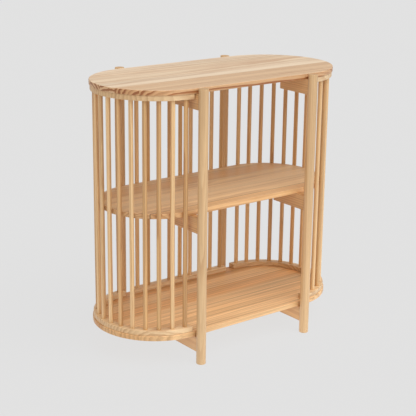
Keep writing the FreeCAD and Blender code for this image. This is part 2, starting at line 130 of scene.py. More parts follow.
def arc(centre, radius, start, end, count, hollow=False):
    """Rows of centre x, centre y, outward normal x and y, and signed radius.

    Each row stands for the point centre + radius * normal, where the normal turns evenly from
    the start to the end angle.  On a hollow arc the radius is negative, so that moving the
    point inwards by an inset is always centre + (radius - inset) * normal.
    """
    angles = np.radians(np.linspace(start, end, count))
    rows = np.empty((count, 5))
    rows[:, 0] = centre[0]
    rows[:, 1] = centre[1]
    rows[:, 2] = np.cos(angles)
    rows[:, 3] = np.sin(angles)
    rows[:, 4] = -radius if hollow else radius
    return rows


def stadium_outline(radius):
    """Two half circles whose ends are joined by straight sides."""
    right = arc((STRAIGHT_HALF, 0), radius, -90, 90, HALF_CIRCLE_POINTS)
    left = arc((-STRAIGHT_HALF, 0), radius, 90, 270, HALF_CIRCLE_POINTS)
    return np.vstack((right, left))


def half_ring_outline(side, corner):
    """Half of a flat ring at one end, its four corners turned with a small radius.

    A corner's arc touches the ring's circle and its flat end, so its centre stands the corner's
    radius from both: sin(lean) = corner / distance of that centre from the ring's middle.
    """
    reach_out = RING_OUTER - corner
    reach_in = RING_INNER + corner
    outer = math.asin(corner / reach_out)
    inner = math.asin(corner / reach_in)
    x = STRAIGHT_HALF + corner
    y_out = reach_out * math.cos(outer)
    y_in = reach_in * math.cos(inner)
    lean_out = math.degrees(outer)
    lean_in = math.degrees(inner)
    middle = (STRAIGHT_HALF, 0)
    long = HALF_CIRCLE_POINTS
    short = CORNER_POINTS
    rows = np.vstack((
        arc(middle, RING_OUTER, lean_out - 90, 90 - lean_out, long),
        arc((x, y_out), corner, 90 - lean_out, 180, short)[1:],
        arc((x, y_in), corner, 180, 270 - lean_in, short)[:-1],
        arc(middle, RING_INNER, 270 - lean_in, 90 + lean_in, long, hollow=True),
        arc((x, -y_in), corner, 90 + lean_in, 180, short)[1:],
        arc((x, -y_out), corner, 180, 270 + lean_out, short)[:-1],
    ))
    if side < 0:
        rows[:, :4] *= -1
    return rows


def bar_outline(low, high, corner):
    """A rectangle with small round corners."""
    corners = (
        (high[0] - corner, low[1] + corner, -90),
        (high[0] - corner, high[1] - corner, 0),
        (low[0] + corner, high[1] - corner, 90),
        (low[0] + corner, low[1] + corner, 180),
    )
    arcs = [arc((x, y), corner, start, start + 90, CORNER_POINTS) for x, y, start in corners]
    return np.vstack(arcs)


def edge_profile(thickness, rounding):
    """Inset and height up the edge: a quarter round, a straight rise and a quarter round."""
    turn = np.linspace(0, math.pi / 2, EDGE_STEPS + 1)
    inset = rounding * (1 - np.sin(turn))
    height = rounding * (1 - np.cos(turn))
    return np.column_stack((
        np.concatenate((inset, inset[::-1])),
        np.concatenate((height, thickness - height[::-1])),
    ))


def blind_hole(x, y, radius, mouth, depth):
    """A flat-bottomed hole as rings of radius and height; a negative depth goes down."""
    return x, y, ((radius, mouth), (radius, mouth + depth), (0, mouth + depth))


def screw_hole(x, y, mouth, far):
    """A hole right through for a screw, with a recess for its head at the mouth."""
    step = mouth + math.copysign(HEAD_DEPTH, far - mouth)
    return x, y, (
        (HEAD_RADIUS, mouth),
        (HEAD_RADIUS, step),
        (HOLE_RADIUS, step),
        (HOLE_RADIUS, far),
    )


def grid_faces(first, rows, columns):
    """Quads between neighbouring rows of a grid that closes round its columns."""
    row, column = np.meshgrid(np.arange(rows - 1), np.arange(columns), indexing="ij")
    after = (column + 1) % columns
    here = first + row * columns
    quads = np.stack((here + column, here + after, here + columns + after, here + columns + column))
    return quads.reshape(4, -1).T


def flat_faces(points, loops):
    """Triangles that fill the first loop of a flat face and leave the other loops open.

    A triangle whose corners all lie on the rim of one hole would fill it, and is left out.
    """
    used = np.concatenate(loops)
    local = {int(index): place for place, index in enumerate(used)}
    edges = []
    for loop in loops:
        edges += [(local[int(a)], local[int(b)]) for a, b in zip(loop, np.roll(loop, -1))]
    border = [[local[int(index)] for index in loops[0]]]
    coordinates = [Vector(points[index][:2]) for index in used]
    made = delaunay_2d_cdt(coordinates, edges, border, INSIDE_ONLY, SAME_POINT)
    _, _, faces, origins, _, _ = made
    source = [origin[0] for origin in origins]
    owner = np.concatenate([np.full(len(loop), number) for number, loop in enumerate(loops)])
    triangles = []
    for face in faces:
        corners = [source[vertex] for vertex in face]
        owners = set(owner[corners])
        if len(owners) > 1 or 0 in owners:
            triangles.append([int(used[corner]) for corner in corners])
    return triangles


def flat_piece(name, outline, bottom, top, rounding, holes=()):
    """A flat piece of wood: an edge profile carried round an outline, closed by two flat faces.

    The side is a grid whose columns go round the outline and whose rows climb the edge
    profile: point = centre + (radius - inset) * normal, at bottom + height.  A hole is a
    profile of radius and height turned round its own axis, and the flat faces are triangles
    between the outline's rim and the rims of the holes that open there.
    """
    profile = edge_profile(top - bottom, rounding)
    count = len(outline)
    reach = outline[None, :, 4] - profile[:, 0, None]
    side = np.empty((len(profile), count, 3))
    side[..., 0] = outline[:, 0] + reach * outline[:, 2]
    side[..., 1] = outline[:, 1] + reach * outline[:, 3]
    side[..., 2] = bottom + profile[:, 1, None]
    points = [side.reshape(-1, 3)]
    smooth = [grid_faces(0, len(profile), count)]
    total = points[0].shape[0]
    loops = {bottom: [np.arange(count)], top: [total - count + np.arange(count)]}
    caps = []
    turn = full_turn()
    for x, y, rings in holes:
        open_rings = np.array([ring for ring in rings if ring[0] > 0])
        wall = np.empty((len(open_rings), len(turn), 3))
        wall[..., 0] = x + open_rings[:, 0, None] * np.cos(turn)
        wall[..., 1] = y + open_rings[:, 0, None] * np.sin(turn)
        wall[..., 2] = open_rings[:, 1, None]
        points.append(wall.reshape(-1, 3))
        smooth.append(grid_faces(total, len(open_rings), len(turn)))
        mouth_rim = total + np.arange(len(turn))
        total += wall.shape[0] * wall.shape[1]
        far_rim = total - len(turn) + np.arange(len(turn))
        mouth_height = rings[0][1]
        far_radius, far_height = rings[-1]
        loops[mouth_height].append(mouth_rim)
        if far_radius > 0:
            loops[far_height].append(far_rim)
        else:
            caps.append(far_rim)
    points = np.vstack(points)
    flats = flat_faces(points, loops[bottom]) + flat_faces(points, loops[top])
    return solid(name, points, np.vstack(smooth), flats + [cap.tolist() for cap in caps])


def solid(name, points, smooth_faces, level_faces):
    """A closed mesh from its points, its round faces and its flat faces, facing outwards."""
    mesh = bpy.data.meshes.new(name)
    mesh.from_pydata(points.tolist(), [], smooth_faces.tolist() + level_faces)
    shading = np.arange(len(mesh.polygons)) < len(smooth_faces)
    mesh.polygons.foreach_set("use_smooth", shading)
    work = bmesh.new()
    work.from_mesh(mesh)
    bmesh.ops.recalc_face_normals(work, faces=work.faces)
    work.to_mesh(mesh)
    work.free()
    piece = bpy.data.objects.new(name, mesh)
    bpy.context.scene.collection.objects.link(piece)
    return piece


# ---------------------------------------------------------------- spindles


def turned_rods(name, centres, foot, head, radius, rng):
    """Round rods in one mesh, each a circle carried up a path that strays a little from straight.

    A row's centre is moved by bow * sin(pi * share), where share is its share of the height.
    Its radius is scaled by 1 + swell * sin(half waves * pi * share + phase), and round the row
    by 1 + oval * cos(2 * angle + phase).  The rows at both ends shrink to a point.
    """
    around = full_turn()
    ease = SPINDLE_END_HEIGHTS
    inner = np.linspace(0, 1, SPINDLE_ROWS)[1:-1] * (head - foot)
    heights = foot + np.concatenate((ease, inner, (head - foot) - ease[::-1]))
    ends = SPINDLE_END_SHARES
    shrink = np.concatenate((ends, np.ones(len(inner)), ends[::-1]))
    share = (heights - foot) / (head - foot)
    points = []
    faces = []
    total = 0
    for x, y in centres:
        bow = rng.uniform(-SPINDLE_BOW, SPINDLE_BOW, 2)
        phase = rng.uniform(0, 2 * math.pi, 2)
        wave = 1 + SPINDLE_SWELL * np.sin(SWELL_HALF_WAVES * math.pi * share + phase[0])
        oval = 1 + SPINDLE_OVAL * np.cos(2 * around + phase[1])
        grid = np.empty((len(heights), len(around), 3))
        reach = radius * (shrink * wave)[:, None] * oval
        grid[..., 0] = x + (bow[0] * np.sin(math.pi * share))[:, None] + reach * np.cos(around)
        grid[..., 1] = y + (bow[1] * np.sin(math.pi * share))[:, None] + reach * np.sin(around)
        grid[..., 2] = heights[:, None]
        points.append(grid.reshape(-1, 3))
        faces.append(grid_faces(total, len(heights), len(around)))
        total += grid.shape[0] * grid.shape[1]
    piece = solid(name, np.vstack(points), np.vstack(faces), [])
    work = bmesh.new()
    work.from_mesh(piece.data)
    bmesh.ops.remove_doubles(work, verts=work.verts, dist=SAME_VERTEX)
    bmesh.ops.recalc_face_normals(work, faces=work.faces)
    work.to_mesh(piece.data)
    work.free()
    return piece


# ---------------------------------------------------------------- timber attributes


def vertices_of(piece):
    """The piece's vertices as an array."""
    points = np.empty(len(piece.data.vertices) * 3)
    piece.data.vertices.foreach_get("co", points)
    return points.reshape(-1, 3)


def cut_from(piece, timber, tone):
    """Say where each vertex lay in the log (x along the grain, y and z from the heart line)
    and how much darker or paler than its neighbours the piece is there."""
    mesh = piece.data
    where = mesh.attributes.new("timber", "FLOAT_VECTOR", "POINT")
    where.data.foreach_set("vector", np.ascontiguousarray(timber, np.float32).ravel())
    shade = mesh.attributes.new("tone", "FLOAT", "POINT")
    values = np.broadcast_to(np.asarray(tone, np.float32), len(mesh.vertices))
    shade.data.foreach_set("value", np.ascontiguousarray(values))


# ---------------------------------------------------------------- node trees


class Graph:
    """Shorthand for building one node tree."""

    def __init__(self, tree):
        self.tree = tree

    def feed(self, socket, value):
        """Link an output to the socket, or set the socket to a plain value."""
        if isinstance(value, bpy.types.NodeSocket):
            self.tree.links.new(value, socket)
        else:
            socket.default_value = value

    def node(self, kind, inputs=None, **settings):
        """A node with its settings made and its inputs fed."""
        made = self.tree.nodes.new(kind)
        for key, value in settings.items():
            setattr(made, key, value)
        for key, value in (inputs or {}).items():
            self.feed(made.inputs[key], value)
        return made

    def math(self, operation, *values):
        """The result of a sum on numbers."""
        made = self.node("ShaderNodeMath", dict(enumerate(values)), operation=operation)
        return made.outputs[0]

    def vector(self, operation, *values):
        """The result of a sum on vectors; a length comes out as a number."""
        made = self.node("ShaderNodeVectorMath", dict(enumerate(values)), operation=operation)
        return made.outputs["Value" if operation == "LENGTH" else "Vector"]

    def scaled(self, vector, factor):
        """The vector times a number."""
        made = self.node("ShaderNodeVectorMath", {0: vector, "Scale": factor}, operation="SCALE")
        return made.outputs["Vector"]

    def parts(self, vector):
        """The vector's X, Y and Z outputs."""
        return self.node("ShaderNodeSeparateXYZ", {0: vector}).outputs

    def joined(self, x, y, z):
        """A vector of three numbers."""
        return self.node("ShaderNodeCombineXYZ", {0: x, 1: y, 2: z}).outputs[0]

    def noise(self, vector, stretch, detail=2.0, rough=0.5):
        """Noise on the vector stretched by three factors; returns its value and its colour."""
        where = self.vector("MULTIPLY", vector, stretch)
        settings = {"Vector": where, "Scale": 1.0, "Detail": detail, "Roughness": rough}
        made = self.node("ShaderNodeTexNoise", settings)
        return made.outputs["Fac"], made.outputs["Color"]

    def ramp(self, value, low, high, to_low=0.0, to_high=1.0):
        """A smooth step from to_low to to_high while the value goes from low to high."""
        limits = {"Value": value, "From Min": low, "From Max": high}
        limits.update({"To Min": to_low, "To Max": to_high})
        made = self.node("ShaderNodeMapRange", limits, interpolation_type="SMOOTHSTEP")
        return made.outputs["Result"]

    def mix(self, factor, first, second, blend="MIX"):
        """Two colours mixed by a factor."""
        made = self.node("ShaderNodeMix", data_type="RGBA", blend_type=blend)
        for index, value in ((0, factor), (6, first), (7, second)):
            self.feed(made.inputs[index], value)
        return made.outputs[2]


def new_group(name, inputs, outputs):
    """An empty node group with named sockets; returns its tree, input sockets and output node."""
    tree = bpy.data.node_groups.new(name, "ShaderNodeTree")
    for in_out, sockets in (("INPUT", inputs), ("OUTPUT", outputs)):
        for label, kind in sockets:
            tree.interface.new_socket(name=label, in_out=in_out, socket_type=f"NodeSocket{kind}")
    entry = tree.nodes.new("NodeGroupInput")
    leave = tree.nodes.new("NodeGroupOutput")
    return tree, entry.outputs, leave


# How often each pattern repeats in a metre: along the grain, and in both directions across it.
SLOW_BENDS = (1.1, 7, 7)
RIPPLES = (6, 60, 60)
STREAKS = (2.2, 190, 190)
BROAD_BANDS = (1.3, 34, 34)
FIBRES = (20, 900, 900)
PORES = (50, 1400, 1400)

RIPPLE_SIZE = 1.1  # as a share of the ring spacing
LATE_WOOD_GROWS = (0.15, 0.88)  # shares of a ring over which the wood darkens
LATE_WOOD_STOPS = (0.90, 1.0)  # and over which it turns pale again
FAINTEST_RING = 0.35  # as a share of the strongest
END_CONTRAST = 0.3  # how much stronger the rings are on end grain
END_LATE_WOOD = 0.85  # the late wood's brightness there
BAND_WEIGHT = 0.9  # of the broad bands beside the fine streaks
STAGGER = 37.0  # slides neighbouring fibres along the grain, so that their ends don't line up
PORE_EDGE = (0.60, 0.72)  # noise values between which a pore sets in
FIBRE_SHADE = 0.12
PORE_SHADE = -0.06
BASE_ROUGHNESS = 0.42
FIBRE_ROUGHNESS = 0.16
END_ROUGHNESS = 0.15
LATE_WOOD_ROUGHNESS = -0.05
RIDGE_HEIGHT = 0.5  # of the fibres and of the late wood
PORE_HEIGHT = -0.6


def growth_rings_group():
    """Growth rings, streaks, fibres and pores of a log.

    Ring number = (distance from the heart line, moved by slow noise, + ripple) / ring spacing.
    Within a ring the wood darkens smoothly towards its late wood and then starts again pale,
    and each ring has its own strength.  Colour = wood * (1 + streaks + fibres + pores + tone).
    """
    inputs = (
        ("Timber", "Vector"),
        ("Ring spacing", "Float"),
        ("Wander", "Float"),
        ("Early wood", "Color"),
        ("Late wood", "Color"),
        ("End tint", "Color"),
        ("Tint", "Color"),
        ("Ring contrast", "Float"),
        ("Streak contrast", "Float"),
        ("Tone", "Float"),
        ("End grain", "Float"),
    )
    outputs = (("Color", "Color"), ("Roughness", "Float"), ("Height", "Float"))
    tree, given, leave = new_group("Growth rings", inputs, outputs)
    g = Graph(tree)
    timber = given["Timber"]
    spacing = given["Ring spacing"]
    end_grain = given["End grain"]
    late_wood = given["Late wood"]

    slow = g.noise(timber, SLOW_BENDS, detail=1.5)[1]
    stray = g.scaled(g.vector("SUBTRACT", slow, (0.5, 0.5, 0.5)), given["Wander"])
    bent = g.parts(g.vector("ADD", timber, stray))
    across = g.joined(0.0, bent["Y"], bent["Z"])
    ripple = g.math("SUBTRACT", g.noise(timber, RIPPLES, detail=2.5)[0], 0.5)
    ripple = g.math("MULTIPLY", ripple, g.math("MULTIPLY", spacing, RIPPLE_SIZE))
    radius = g.math("ADD", g.vector("LENGTH", across), ripple)

    ring = g.math("DIVIDE", radius, spacing)
    number = g.math("FLOOR", ring)
    year = g.node("ShaderNodeTexWhiteNoise", {"W": number}, noise_dimensions="1D")
    season = g.math("FRACT", ring)
    rise = g.ramp(season, *LATE_WOOD_GROWS)
    fall = g.ramp(season, *LATE_WOOD_STOPS, 1.0, 0.0)
    strength = g.ramp(year.outputs["Value"], 0.0, 1.0, FAINTEST_RING, 1.0)
    late = g.math("MULTIPLY", g.math("MULTIPLY", rise, fall), strength)

    boost = g.math("MULTIPLY_ADD", end_grain, END_CONTRAST, 1.0)
    contrast = g.math("MULTIPLY", given["Ring contrast"], boost)
    dark = g.mix(end_grain, late_wood, g.scaled(late_wood, END_LATE_WOOD))
    wood = g.mix(g.math("MULTIPLY", late, contrast), given["Early wood"], dark)
    wood = g.mix(end_grain, wood, g.mix(1.0, wood, given["End tint"], "MULTIPLY"))
    wood = g.mix(1.0, wood, given["Tint"], "MULTIPLY")

    streak = g.math("SUBTRACT", g.noise(timber, STREAKS, detail=3, rough=0.68)[0], 0.5)
    broad = g.math("SUBTRACT", g.noise(timber, BROAD_BANDS)[0], 0.5)
    streak = g.math("MULTIPLY_ADD", broad, BAND_WEIGHT, streak)
    streak = g.math("MULTIPLY", streak, g.math("SUBTRACT", 1.0, end_grain))
    along = g.parts(timber)
    stagger = g.math("MULTIPLY_ADD", g.math("ADD", along["Y"], along["Z"]), STAGGER, along["X"])
    strand = g.joined(stagger, along["Y"], along["Z"])
    fibre = g.noise(strand, FIBRES)[0]
    pores = g.ramp(g.noise(strand, PORES, detail=1)[0], *PORE_EDGE)

    shade = g.math("MULTIPLY_ADD", streak, given["Streak contrast"], 1.0)
    shade = g.math("MULTIPLY_ADD", g.math("SUBTRACT", fibre, 0.5), FIBRE_SHADE, shade)
    shade = g.math("MULTIPLY_ADD", pores, PORE_SHADE, shade)
    shade = g.math("ADD", shade, given["Tone"])
    g.feed(leave.inputs["Color"], g.scaled(wood, shade))
    rough = g.math("MULTIPLY_ADD", fibre, FIBRE_ROUGHNESS, BASE_ROUGHNESS)
    rough = g.math("MULTIPLY_ADD", end_grain, END_ROUGHNESS, rough)
    g.feed(leave.inputs["Roughness"], g.math("MULTIPLY_ADD", late, LATE_WOOD_ROUGHNESS, rough))
    ridges = g.math("MULTIPLY_ADD", fibre, RIDGE_HEIGHT, g.math("MULTIPLY", late, RIDGE_HEIGHT))
    g.feed(leave.inputs["Height"], g.math("MULTIPLY_ADD", pores, PORE_HEIGHT, ridges))
    return tree


JOINT_REACH = 1.8 * MM  # how far a glue joint shows on each side of it


def glued_staves_group():
    """Staves glued side by side across Y, each cut from its own place in a log.

    Within a stave, y runs from its middle line.  Timber = place in the stave - heart, and the
    joint is a thin line, strongest where two staves meet and gone at its reach.
    """
    inputs = (
        ("Position", "Vector"),
        ("Stave width", "Float"),
        ("Heart", "Vector"),
    )
    outputs = (("Timber", "Vector"), ("Joint", "Float"))
    tree, given, leave = new_group("Glued staves", inputs, outputs)
    g = Graph(tree)
    place = g.parts(given["Position"])
    across = g.math("DIVIDE", place["Y"], given["Stave width"])
    within = g.math("SUBTRACT", g.math("FRACT", across), 0.5)
    local = g.joined(place["X"], g.math("MULTIPLY", within, given["Stave width"]), place["Z"])
    g.feed(leave.inputs["Timber"], g.vector("SUBTRACT", local, given["Heart"]))
    edge = g.math("SUBTRACT", 0.5, g.math("ABSOLUTE", within))
    gap = g.math("MULTIPLY", edge, given["Stave width"])
    g.feed(leave.inputs["Joint"], g.ramp(gap, 0.0, JOINT_REACH, 1.0, 0.0))
    return tree


GROWTH_RINGS = growth_rings_group()
GLUED_STAVES = glued_staves_group()

# ---------------------------------------------------------------- materials

HONEY = (0.470, 0.215, 0.075, 1)
END_TINT = (0.86, 0.80, 0.72, 1)
CREAM = (1.0, 1.0, 1.0)
TAN = (0.89, 0.77, 0.64)
SAND = (0.98, 0.95, 0.91)
AMBER = (0.97, 0.86, 0.72)
WHITE = (1, 1, 1, 1)
HEART_REACH = 0.25  # a ramp colour of 0 stands for minus this distance, and 1 for plus
LOG_LENGTH = 9  # pieces are spread along this much log, so that they don't share a figure
GRAIN_WANDER = 30 * MM
COAT_WEIGHT = 0.4
COAT_ROUGHNESS = 0.38
BUMP_STRENGTH = 0.5
BUMP_DISTANCE = 0.25 * MM
END_FACING = (0.2, 0.95)  # share of a face's normal along the grain, as end grain sets in
FLAT_FACING = (0.3, 0.9)  # share of its normal upwards, as a board's edge turns into its face
AMBER_TONES = (-0.13, 0.02)  # from a piece that is wholly amber to one that isn't
CARRIED_STREAKS = 0.40  # streak contrast of the legs, blocks and dowels


def wood_material(name, axis, spacing, rings, streaks, early):
    """A lacquered wood whose grain runs along an axis; returns it, its graph and its figure."""
    material = bpy.data.materials.new(name)
    material.use_nodes = True
    g = Graph(material.node_tree)
    shader = material.node_tree.nodes["Principled BSDF"]
    shader.inputs["Coat Weight"].default_value = COAT_WEIGHT
    shader.inputs["Coat Roughness"].default_value = COAT_ROUGHNESS
    figure = g.node("ShaderNodeGroup", node_tree=GROWTH_RINGS)
    values = {
        "Ring spacing": spacing,
        "Wander": GRAIN_WANDER,
        "Early wood": early,
        "Late wood": HONEY,
        "End tint": END_TINT,
        "Tint": WHITE,
        "Ring contrast": rings,
        "Streak contrast": streaks,
        "Tone": 0.0,
    }
    for label, value in values.items():
        figure.inputs[label].default_value = value
    facing = g.parts(g.node("ShaderNodeTexCoord").outputs["Normal"])[axis]
    g.feed(figure.inputs["End grain"], g.ramp(g.math("ABSOLUTE", facing), *END_FACING))
    bump = g.node("ShaderNodeBump", {"Height": figure.outputs["Height"]})
    bump.inputs["Strength"].default_value = BUMP_STRENGTH
    bump.inputs["Distance"].default_value = BUMP_DISTANCE
    g.feed(shader.inputs["Base Color"], figure.outputs["Color"])
    g.feed(shader.inputs["Roughness"], figure.outputs["Roughness"])
    g.feed(shader.inputs["Normal"], bump.outputs["Normal"])
    return material, g, figure


def attribute(g, label, output="Fac"):
    """An output of a mesh attribute."""
    return g.node("ShaderNodeAttribute", attribute_name=label).outputs[output]


def steps(g, share, colours):
    """A colour ramp with equal flat steps."""
    made = g.node("ShaderNodeValToRGB", {"Fac": share})
    made.color_ramp.interpolation = "CONSTANT"
    stops = made.color_ramp.elements
    stops.remove(stops[0])
    for number, colour in enumerate(colours):
        stop = stops.new(number / len(colours)) if number else stops[0]
        stop.position = number / len(colours)
        stop.color = (*colour, 1)
    return made.outputs["Color"]


def board_material(name, middle_height, staves, joints, early, spacing, rings, streaks, edge):
    """Glued staves, from front to back: each one's tint and its heart's y and z in mm, and how
    dark each joint between them is.  The edge, a tint and a ring contrast, is for the sides."""
    material, g, figure = wood_material(name, "X", spacing, rings, streaks, early)
    position = g.node("ShaderNodeTexCoord").outputs["Object"]
    centred = g.vector("SUBTRACT", position, (0, 0, middle_height))
    half = len(staves) * STAVE_WIDTH / 2
    share = g.math("MULTIPLY_ADD", g.parts(position)["Y"], 0.5 / half, 0.5)
    tints = [tint for tint, y, z in staves]
    hearts = [
        (number / len(staves), 0.5 + 0.5 * y * MM / HEART_REACH, 0.5 + 0.5 * z * MM / HEART_REACH)
        for number, (tint, y, z) in enumerate(staves)
    ]
    heart = g.vector("SUBTRACT", steps(g, share, hearts), (0.5, 0.5, 0.5))
    heart = g.vector("MULTIPLY", heart, (LOG_LENGTH, 2 * HEART_REACH, 2 * HEART_REACH))
    glued = g.node("ShaderNodeGroup", {"Position": centred, "Heart": heart}, node_tree=GLUED_STAVES)
    glued.inputs["Stave width"].default_value = STAVE_WIDTH
    g.feed(figure.inputs["Timber"], glued.outputs["Timber"])
    up = g.parts(g.node("ShaderNodeTexCoord").outputs["Normal"])["Z"]
    side = g.ramp(g.math("ABSOLUTE", up), *FLAT_FACING, 1.0, 0.0)
    tint = steps(g, share, tints)
    # On the top board this tint is painted shade: it darkens the sides against the faces, whose
    # paler wood paints sheen and light.
    edge_tint, edge_rings = edge
    tinted_edge = g.mix(1.0, tint, (*edge_tint, 1), "MULTIPLY")
    g.feed(figure.inputs["Tint"], g.mix(side, tint, tinted_edge))
    contrast = g.math("MULTIPLY_ADD", side, edge_rings - rings, rings)
    g.feed(figure.inputs["Ring contrast"], contrast)
    nearest = g.math("SUBTRACT", share, 0.5 / len(staves))
    darkness = steps(g, nearest, [(joint, joint, joint) for joint in (*joints, 0)])
    line = g.math("MULTIPLY", glued.outputs["Joint"], darkness)
    g.feed(figure.inputs["Tone"], g.math("MULTIPLY", line, -1.0))
    return material


def cut_material(name, axis, spacing, rings, streaks, early):
    """Wood of a piece that carries its own timber attribute."""
    material, g, figure = wood_material(name, axis, spacing, rings, streaks, early)
    g.feed(figure.inputs["Timber"], attribute(g, "timber", "Vector"))
    tone = attribute(g, "tone")
    g.feed(figure.inputs["Tone"], tone)
    amber = g.ramp(tone, *AMBER_TONES, 1.0, 0.0)
    g.feed(figure.inputs["Tint"], g.mix(amber, WHITE, (*AMBER, 1)))
    return material


def carried_over_material(name, axis, turn, heart, spacing, rings, early, tone=0.0):
    """Wood of a CAD node: a Mapping node turns its grain to lie along the log."""
    material, g, figure = wood_material(name, axis, spacing, rings, CARRIED_STREAKS, early)
    position = g.node("ShaderNodeTexCoord").outputs["Object"]
    mapping = g.node("ShaderNodeMapping", {"Vector": position})
    mapping.inputs["Rotation"].default_value = turn
    mapping.inputs["Location"].default_value = heart
    g.feed(figure.inputs["Timber"], mapping.outputs["Vector"])
    figure.inputs["Tone"].default_value = tone
    return material


DARK_ZINC = (0.62, 0.60, 0.55, 1)
PALE_ZINC = (0.74, 0.73, 0.70, 1)
CRYSTALS = 900.0  # in a metre
CLOUDS = (400, 400, 400)  # of roughness, in a metre
CLOUD_EDGE = (0.3, 0.7)  # noise values between which the roughness changes
ZINC_ROUGHNESS = (0.28, 0.48)


def zinc_material():
    """Zinc-plated steel: a soft sheen broken by fine crystals."""
    material = bpy.data.materials.new("zinc")
    material.use_nodes = True
    g = Graph(material.node_tree)
    shader = material.node_tree.nodes["Principled BSDF"]
    shader.inputs["Metallic"].default_value = 1.0
    position = g.node("ShaderNodeTexCoord").outputs["Object"]
    cells = g.node("ShaderNodeTexVoronoi", {"Vector": position, "Scale": CRYSTALS})
    tint = g.mix(g.parts(cells.outputs["Color"])["X"], DARK_ZINC, PALE_ZINC)
    g.feed(shader.inputs["Base Color"], tint)
    rough = g.ramp(g.noise(position, CLOUDS)[0], *CLOUD_EDGE, *ZINC_ROUGHNESS)
    g.feed(shader.inputs["Roughness"], rough)
    return material


def dress(piece, material):
    """Give the whole piece one material."""
    piece.data.materials.clear()
    piece.data.materials.append(material)


# ---------------------------------------------------------------- where the holes are


def ring_screw_points(sides):
    """Screws of the half rings, at whole steps between spindles, on the given ends."""
    points = []
    for gaps in RING_SCREW_STEPS:
        angle = math.radians(gaps * SPINDLE_STEP)
        x = STRAIGHT_HALF + SPINDLE_PATH * math.cos(angle)
        y = SPINDLE_PATH * math.sin(angle)
        points += [(side * x, front * y) for side in sides for front in (-1, 1)]
    return points


def strip_screw_points():
    """Screws of a back strip, between its spindles."""
    return [(pitches * BACK_PITCH, SPINDLE_PATH) for pitches in STRIP_SCREW_PITCHES]


def block_screw_points():
    """Screws that come up through the blocks, along each leg's block towards the middle."""
    points = []
    for side in (-1, 1):
        for along in BLOCK_SCREWS:
            y = LEG_OFFSET[1] - along
            points += [(side * LEG_OFFSET[0], -y), (side * LEG_OFFSET[0], y)]
    return points


def end_spindle_points(side):
    """Centres of the spindles of one end, evenly spaced round the half circle."""
    angles = np.radians(SPINDLE_STEP * (np.arange(SPINDLES_PER_END) + 0.5) - 90)
    x = side * (STRAIGHT_HALF + SPINDLE_PATH * np.cos(angles))
    return np.column_stack((x, SPINDLE_PATH * np.sin(angles)))


def back_spindle_points():
    """Centres of the back spindles, evenly spaced along the back strip."""
    places = (np.arange(BACK_SPINDLES) - (BACK_SPINDLES - 1) / 2) * BACK_PITCH
    return np.column_stack((places, np.full(BACK_SPINDLES, SPINDLE_PATH)))


# ---------------------------------------------------------------- making the pieces

ALL_RING_SCREWS = ring_screw_points((-1, 1)) + strip_screw_points()
RAIL_HEARTS = {  # where each rail's heart line lies from its underside, y and z in mm
    "lower_ring_left": (-152, -27),
    "lower_ring_right": (95, -70),
    "lower_back_strip": (160, -60),
    "upper_ring_left": (420, 10),
    "upper_ring_right": (-390, -20),
    "upper_back_strip": (190, -40),
}
RAIL_TONE = 0.03
SPINDLE_TONES = (-0.15, 0.11)
SPINDLE_HEARTS = (0.02, 0.09)  # how far from the heart of the log a spindle may be cut
RAIL_SEED = 11
SPINDLE_SEED = 5


def finish_piece(piece, node):
    """Hang a new piece on the body in place of its CAD node."""
    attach(piece, "root")
    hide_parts(node)


def make_board(node, radius, ring_screws, material):
    """A board with half-round ends and the holes of the screws that enter it from below."""
    low, high = span(node)
    holes = [blind_hole(x, y, PILOT_RADIUS, low[2], PILOT_DEPTH) for x, y in block_screw_points()]
    for x, y in ALL_RING_SCREWS:
        if ring_screws == "pilot":
            holes.append(blind_hole(x, y, PILOT_RADIUS, low[2], PILOT_DEPTH))
        elif ring_screws == "through":
            holes.append(screw_hole(x, y, low[2], high[2]))
    outline = stadium_outline(radius)
    piece = flat_piece(node.title(), outline, low[2], high[2], BOARD_ROUNDING, holes)
    dress(piece, material)
    finish_piece(piece, node)


def make_cage_rail(node, outline, sockets, screws, rng, material):
    """A half ring or a back strip, with spindle sockets on one face and screws in the other."""
    low, high = span(node)
    upper = node.startswith("upper")
    face = low[2] if upper else high[2]
    inwards = SOCKET_DEPTH if upper else -SOCKET_DEPTH
    radius = SPINDLE_RADIUS + SOCKET_CLEARANCE
    holes = [blind_hole(x, y, radius, face, inwards) for x, y in sockets]
    for x, y in screws:
        if upper:
            holes.append(screw_hole(x, y, low[2], high[2]))
        else:
            holes.append(blind_hole(x, y, PILOT_RADIUS, low[2], PILOT_DEPTH))
    piece = flat_piece(node.title(), outline, low[2], high[2], RING_ROUNDING, holes)
    heart_y, heart_z = RAIL_HEARTS[node]
    heart = (rng.uniform(-LOG_LENGTH, 0), heart_y * MM, low[2] + heart_z * MM)
    cut_from(piece, vertices_of(piece) - heart, rng.uniform(-RAIL_TONE, RAIL_TONE))
    dress(piece, material)
    finish_piece(piece, node)


def make_rods(node, centres, rng, material):
    """Spindles, each cut from its own place in the log with the grain up its length."""
    low, high = span(node)
    piece = turned_rods(node.title(), centres, low[2], high[2], SPINDLE_RADIUS, rng)
    points = vertices_of(piece)
    distances = np.linalg.norm(points[:, None, :2] - centres[None], axis=2)
    nearest = np.argmin(distances, axis=1)
    local = points[:, :2] - centres[nearest]
    bearing = rng.uniform(0, 2 * math.pi, len(centres))
    depth = rng.uniform(*SPINDLE_HEARTS, len(centres))
    along = rng.uniform(0, LOG_LENGTH, len(centres))
    shade = rng.uniform(*SPINDLE_TONES, len(centres))
    timber = np.column_stack((
        points[:, 2] + along[nearest],
        local[:, 0] + (depth * np.cos(bearing))[nearest],
        local[:, 1] + (depth * np.sin(bearing))[nearest],
    ))
    cut_from(piece, timber, shade[nearest])
    dress(piece, material)
    finish_piece(piece, node)


def board_middle(node):
    """Height of the middle of a board."""
    return np.mean(span(node), axis=0)[2]


